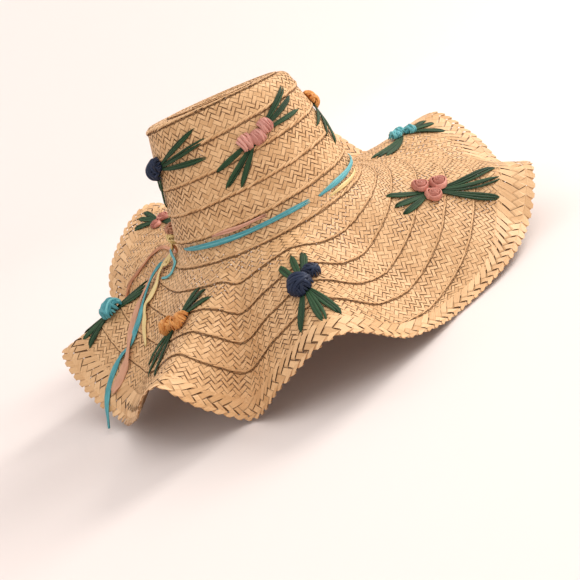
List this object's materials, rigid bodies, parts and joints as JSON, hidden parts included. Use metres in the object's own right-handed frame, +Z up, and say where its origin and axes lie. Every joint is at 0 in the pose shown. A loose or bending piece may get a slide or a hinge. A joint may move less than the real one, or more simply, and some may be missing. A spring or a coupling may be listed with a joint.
{
  "type": "wide brim straw hat",
  "caption": "Round straw hat with a tall tapered crown and a wide wavy brim with a plaited edge, trimmed with raffia flowers, leaves, a laced band and a tie.",
  "frame": {"origin": "middle of the hat's box on the surface that the brim rests on, leaving out the loose tails of the tie", "axes": "+Z up along the crown, from the head opening to the tip; -Y is the side that the picture shows, with the laced band and the dark blue flower on the brim"},
  "size_m": [0.473, 0.472, 0.2229],
  "materials": {
    "straw": "natural palm straw, woven, slightly glossy",
    "straw_edge": "wider natural straw strips, plaited",
    "leaf_green": "dyed raffia stitches",
    "raffia_navy": "dyed raffia",
    "raffia_pink": "dyed raffia",
    "raffia_coral": "dyed raffia",
    "raffia_orange": "dyed raffia",
    "raffia_turquoise": "dyed raffia",
    "raffia_salmon": "dyed raffia",
    "raffia_yellow": "dyed raffia",
    "raffia_peach": "dyed raffia",
    "raffia_rust": "dyed raffia"
  },
  "bodies": {
    "root": {"crown": "straw", "brim": "straw", "edge_plait": "straw_edge", "leaves_crown_navy": "leaf_green", "leaves_crown_pink": "leaf_green", "leaves_crown_orange": "leaf_green", "leaves_crown_turquoise": "leaf_green", "leaves_brim_coral_back": "leaf_green", "leaves_brim_turquoise_left": "leaf_green", "leaves_brim_orange_front": "leaf_green", "leaves_brim_navy_front": "leaf_green", "leaves_brim_coral_right": "leaf_green", "leaves_brim_turquoise_right": "leaf_green", "leaves_brim_orange_back": "leaf_green", "flower_crown_navy": "raffia_navy", "flower_crown_pink": "raffia_pink", "flower_crown_orange": "raffia_orange", "flower_crown_turquoise": "raffia_turquoise", "flower_brim_coral_back": "raffia_coral", "flower_brim_turquoise_left": "raffia_turquoise", "flower_brim_orange_front": "raffia_orange", "flower_brim_navy_front": "raffia_navy", "flower_brim_coral_right": "raffia_coral", "flower_brim_turquoise_right": "raffia_turquoise", "flower_brim_orange_back": "raffia_orange", "band_turquoise_front": "raffia_turquoise", "band_turquoise_right": "raffia_turquoise", "band_turquoise_back": "raffia_turquoise", "band_turquoise_left": "raffia_turquoise", "band_salmon_front": "raffia_salmon", "band_yellow_right": "raffia_yellow", "tie_knot": "raffia_yellow", "tail_rust": "raffia_rust", "tail_turquoise": "raffia_turquoise", "tail_peach": "raffia_peach", "tail_yellow": "raffia_yellow", "tail_loop": "raffia_turquoise"}
  },
  "joints": []
}
